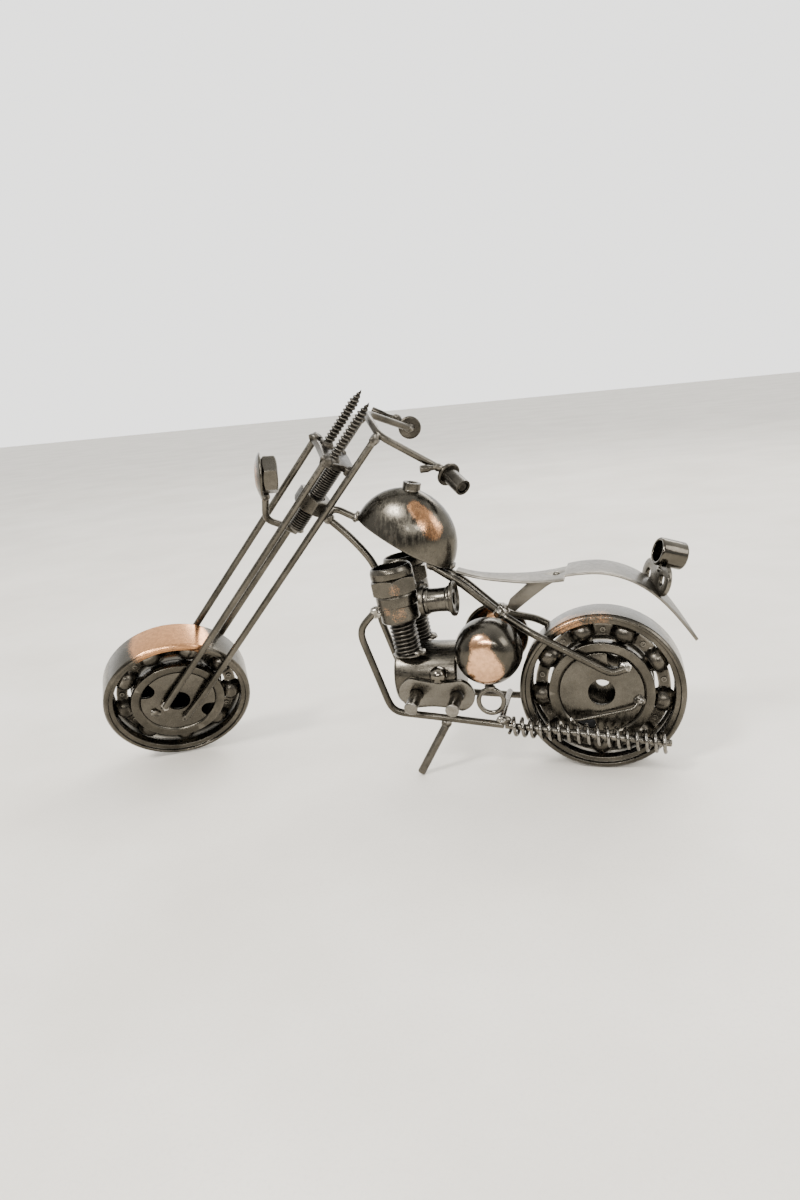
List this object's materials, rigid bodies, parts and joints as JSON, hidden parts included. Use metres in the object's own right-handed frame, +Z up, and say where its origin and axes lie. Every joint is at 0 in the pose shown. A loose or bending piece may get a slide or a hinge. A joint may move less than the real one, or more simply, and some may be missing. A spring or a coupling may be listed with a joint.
{
  "type": "welded scrap-metal motorcycle ornament",
  "caption": "Desk ornament of a chopper motorcycle welded from ball bearings, nuts, bolts, chain parts, steel strip and rod; fork steers and both bearing wheels turn.",
  "frame": {"origin": "on the floor below the middle of the bounding box", "axes": "+Z up, +X towards the tail, -Y the side with the stand"},
  "size_m": [0.2462, 0.0698, 0.1494],
  "materials": {
    "gunmetal_steel": "semi-gloss antique gunmetal with copper tints",
    "dark_steel": "dark semi-gloss gunmetal",
    "blackened_steel": "blackened threads, semi-matt",
    "satin_steel": "brushed satin gunmetal",
    "coppered_steel": "gunmetal with a copper wash on the crown",
    "bright_steel": "rubbed bright steel"
  },
  "bodies": {
    "frame": {"rear_inner_ring": "gunmetal_steel", "rear_hub_disc_near": "gunmetal_steel", "rear_hub_disc_far": "gunmetal_steel", "steering_nut": "gunmetal_steel", "head_link": "gunmetal_steel", "downtube": "gunmetal_steel", "tank_shell": "gunmetal_steel", "tank_cap": "gunmetal_steel", "crankcase": "gunmetal_steel", "cylinder_stud_near": "blackened_steel", "cylinder_nut_near": "gunmetal_steel", "cylinder_stud_far": "blackened_steel", "cylinder_nut_far": "gunmetal_steel", "air_flange_front": "dark_steel", "air_roller": "bright_steel", "air_flange_rear": "dark_steel", "drive_cup_near": "coppered_steel", "drive_cup_far": "coppered_steel", "chain_plate": "satin_steel", "chain_pin_front": "bright_steel", "chain_pin_rear": "bright_steel", "timing_ball": "dark_steel", "crash_bar_near": "gunmetal_steel", "crash_bar_far": "gunmetal_steel", "cross_rod": "bright_steel", "frame_rod_near": "gunmetal_steel", "frame_rod_far": "gunmetal_steel", "kick_stand": "dark_steel", "seat": "satin_steel", "fender": "satin_steel", "seat_strut": "satin_steel", "tail_bracket": "dark_steel", "tail_light": "dark_steel", "exhaust_rod": "gunmetal_steel", "exhaust_spring": "bright_steel", "exhaust_hanger": "bright_steel", "lower_ring": "satin_steel"},
    "fork": {"fork_rod_near_front": "gunmetal_steel", "fork_rod_near_rear": "gunmetal_steel", "spring_screw_near": "blackened_steel", "fork_rod_far_front": "gunmetal_steel", "fork_rod_far_rear": "gunmetal_steel", "spring_screw_far": "blackened_steel", "fork_yoke": "blackened_steel", "steering_bolt": "blackened_steel", "handlebar": "gunmetal_steel", "grip_near": "dark_steel", "lever_near": "dark_steel", "grip_far": "dark_steel", "lever_far": "dark_steel", "headlight_bracket": "gunmetal_steel", "headlight_nut": "gunmetal_steel", "headlight_lens": "coppered_steel", "front_inner_ring": "gunmetal_steel", "front_hub_disc_near": "gunmetal_steel", "front_hub_disc_far": "gunmetal_steel"},
    "rear_tyre": {"rear_outer_ring": "satin_steel"},
    "rear_cage": {"rear_ball_cage": "dark_steel"},
    "front_tyre": {"front_outer_ring": "satin_steel"},
    "front_cage": {"front_ball_cage": "dark_steel"}
  },
  "joints": [
    {"name": "steering", "type": "hinge", "parent": "frame", "child": "fork", "pos_m": [-0.0198, -0.00799, 0.109], "axis": [0.6561, 0, 0.7547], "range_deg": [-80, 8]},
    {"name": "rear_wheel_spin", "type": "hinge", "parent": "frame", "child": "rear_tyre", "pos_m": [0.0881, -0.00799, 0.03085], "axis": [0, 1, 0], "continuous": true},
    {"name": "rear_cage_spin", "type": "hinge", "parent": "frame", "child": "rear_cage", "pos_m": [0.0881, -0.00799, 0.03085], "axis": [0, 1, 0], "continuous": true},
    {"name": "front_wheel_spin", "type": "hinge", "parent": "fork", "child": "front_tyre", "pos_m": [-0.09233, -0.01073, 0.0312], "axis": [-0.4489, 0.8039, 0.3902], "continuous": true},
    {"name": "front_cage_spin", "type": "hinge", "parent": "fork", "child": "front_cage", "pos_m": [-0.09233, -0.01073, 0.0312], "axis": [-0.4489, 0.8039, 0.3902], "continuous": true}
  ],
  "couplings": [
    {"joint": "rear_cage_spin", "follows": "rear_wheel_spin", "ratio": 0.6035},
    {"joint": "front_cage_spin", "follows": "front_wheel_spin", "ratio": 0.6035}
  ]
}
